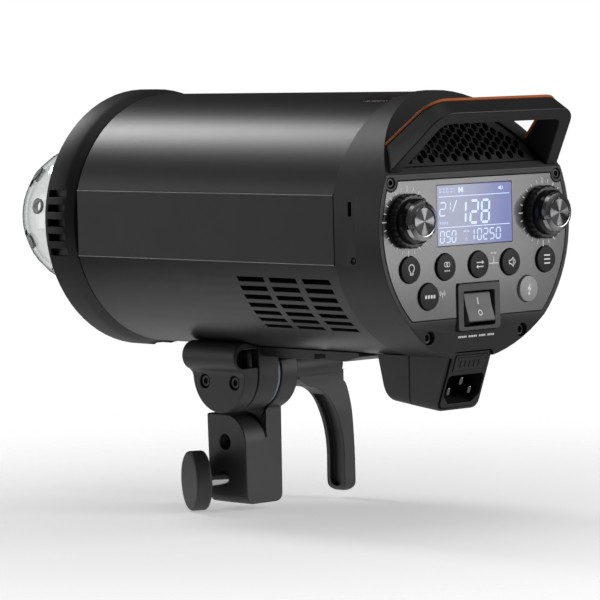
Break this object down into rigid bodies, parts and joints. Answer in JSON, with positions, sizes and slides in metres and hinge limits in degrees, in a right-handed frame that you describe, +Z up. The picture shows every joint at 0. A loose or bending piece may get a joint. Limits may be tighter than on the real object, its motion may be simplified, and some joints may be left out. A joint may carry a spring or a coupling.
{
  "type": "monolight strobe",
  "caption": "Round-bodied monolight strobe with a glass dome, rear control panel, carrying handle and a tilting stand bracket with an umbrella holder.",
  "frame": {"origin": "centre of the stand socket's mouth, on the underside of the stand bracket", "axes": "+Z up, +Y from the flash dome towards the control panel, +X towards the light's own left side"},
  "size_m": [0.1308, 0.341, 0.2104],
  "materials": {
    "powder_coat": "satin black powder coat on aluminium",
    "band_black": "satin black anodised strip",
    "black_plastic": "fine textured black",
    "cast_black": "black powder coat on a casting",
    "panel_grey": "satin grey metallic",
    "rubber_black": "matt silicone rubber",
    "accent_orange": "orange plastic",
    "bright_metal": "turned bright metal",
    "dark_steel": "blackened steel",
    "washer_blue": "blue-grey friction washer",
    "display_blue": "back-lit display window",
    "button_grey": "translucent grey plastic",
    "sensor_violet": "dark violet infrared window",
    "clear_glass": "clear borosilicate glass",
    "reflector": "satin bright reflector",
    "ceramic": "glazed lamp holder",
    "board_green": "circuit board"
  },
  "bodies": {
    "stand": {"stand_bracket": "cast_black"},
    "stand_lock": {"stand_lock_knob": "black_plastic", "stand_lock_screw": "bright_metal"},
    "clamp": {"clamp_lever": "cast_black", "pivot_bolt": "dark_steel"},
    "light": {"tilt_head": "cast_black", "umbrella_holder": "cast_black", "holder_screw_front": "dark_steel", "holder_screw_rear": "dark_steel", "friction_washer": "washer_blue", "mounting_rail": "cast_black", "body_tube": "powder_coat", "front_ring": "black_plastic", "reflector_plate": "reflector", "lamp_socket": "ceramic", "modelling_lamp": "clear_glass", "flash_tube": "clear_glass", "glass_dome": "clear_glass", "side_band_left": "band_black", "side_band_right": "band_black", "end_screw_left": "dark_steel", "end_screw_right": "dark_steel", "sensor_window": "sensor_violet", "rear_cover": "black_plastic", "control_panel": "panel_grey", "display_window": "display_blue", "display_module": "bright_metal", "control_board": "board_green", "rear_grille": "black_plastic", "handle": "black_plastic", "handle_accent": "accent_orange", "inlet_housing": "black_plastic", "power_inlet": "black_plastic", "inlet_pin_earth": "bright_metal", "inlet_pin_line": "bright_metal", "inlet_pin_neutral": "bright_metal", "switch_frame": "black_plastic", "panel_screw_left": "dark_steel", "panel_screw_right": "dark_steel", "cover_screw_left": "dark_steel", "cover_screw_right": "dark_steel", "fan_frame": "black_plastic", "flash_capacitor_left": "band_black", "flash_capacitor_right": "band_black"},
    "rocker": {"power_rocker": "black_plastic"},
    "drawer": {"fuse_drawer": "black_plastic"},
    "dial_left": {"dial_barrel_left": "black_plastic", "dial_cap_left": "bright_metal"},
    "dial_right": {"dial_barrel_right": "black_plastic", "dial_cap_right": "bright_metal"},
    "umbrella_lock": {"umbrella_pin": "dark_steel"},
    "fan": {"fan_rotor": "black_plastic"},
    "catch": {"mount_catch": "dark_steel"},
    "lamp_key": {"lamp_button": "rubber_black"},
    "group_key": {"group_button": "rubber_black"},
    "sync_key": {"sync_button": "rubber_black"},
    "sound_key": {"sound_button": "rubber_black"},
    "menu_key": {"menu_button": "rubber_black"},
    "mode_key": {"mode_button": "rubber_black"},
    "test_key": {"test_button": "button_grey"}
  },
  "joints": [
    {"name": "light_tilt", "type": "hinge", "parent": "stand", "child": "light", "pos_m": [0, 0.005, 0.066], "axis": [1, 0, 0], "range_deg": [-20, 45]},
    {"name": "clamp_turn", "type": "hinge", "parent": "stand", "child": "clamp", "pos_m": [0, 0.005, 0.066], "axis": [1, 0, 0], "range_deg": [-60, 60]},
    {"name": "stand_lock_turn", "type": "hinge", "parent": "stand", "child": "stand_lock", "pos_m": [0, 0, 0.012], "axis": [0.9063, -0.4226, 0], "continuous": true},
    {"name": "rocker_tip", "type": "hinge", "parent": "light", "child": "rocker", "pos_m": [0, 0.1603, 0.1037], "axis": [-1, 0, 0], "range_deg": [0, 15]},
    {"name": "fuse_drawer_slide", "type": "slide", "parent": "light", "child": "drawer", "axis": [0, 0.9336, -0.3584], "range_m": [0, 0.013]},
    {"name": "dial_left_turn", "type": "hinge", "parent": "light", "child": "dial_left", "pos_m": [0.0451, 0.1635, 0.1462], "axis": [0, 1, 0], "continuous": true},
    {"name": "dial_right_turn", "type": "hinge", "parent": "light", "child": "dial_right", "pos_m": [-0.0451, 0.1635, 0.1462], "axis": [0, 1, 0], "continuous": true},
    {"name": "umbrella_pin_slide", "type": "slide", "parent": "light", "child": "umbrella_lock", "axis": [0, 0, -1], "range_m": [0, 0.007], "stiffness_N_per_m": 300},
    {"name": "fan_spin", "type": "hinge", "parent": "light", "child": "fan", "pos_m": [0, 0.112, 0.142], "axis": [0, 1, 0], "continuous": true},
    {"name": "catch_slide", "type": "slide", "parent": "light", "child": "catch", "axis": [0, 1, 0], "range_m": [0, 0.006], "stiffness_N_per_m": 400},
    {"name": "lamp_button_press", "type": "slide", "parent": "light", "child": "lamp_key", "axis": [0, -1, 0], "range_m": [0, 0.001], "stiffness_N_per_m": 600},
    {"name": "group_button_press", "type": "slide", "parent": "light", "child": "group_key", "axis": [0, -1, 0], "range_m": [0, 0.001], "stiffness_N_per_m": 600},
    {"name": "sync_button_press", "type": "slide", "parent": "light", "child": "sync_key", "axis": [0, -1, 0], "range_m": [0, 0.001], "stiffness_N_per_m": 600},
    {"name": "sound_button_press", "type": "slide", "parent": "light", "child": "sound_key", "axis": [0, -1, 0], "range_m": [0, 0.001], "stiffness_N_per_m": 600},
    {"name": "menu_button_press", "type": "slide", "parent": "light", "child": "menu_key", "axis": [0, -1, 0], "range_m": [0, 0.001], "stiffness_N_per_m": 600},
    {"name": "mode_button_press", "type": "slide", "parent": "light", "child": "mode_key", "axis": [0, -1, 0], "range_m": [0, 0.001], "stiffness_N_per_m": 600},
    {"name": "test_button_press", "type": "slide", "parent": "light", "child": "test_key", "axis": [0, -1, 0], "range_m": [0, 0.001], "stiffness_N_per_m": 600}
  ]
}
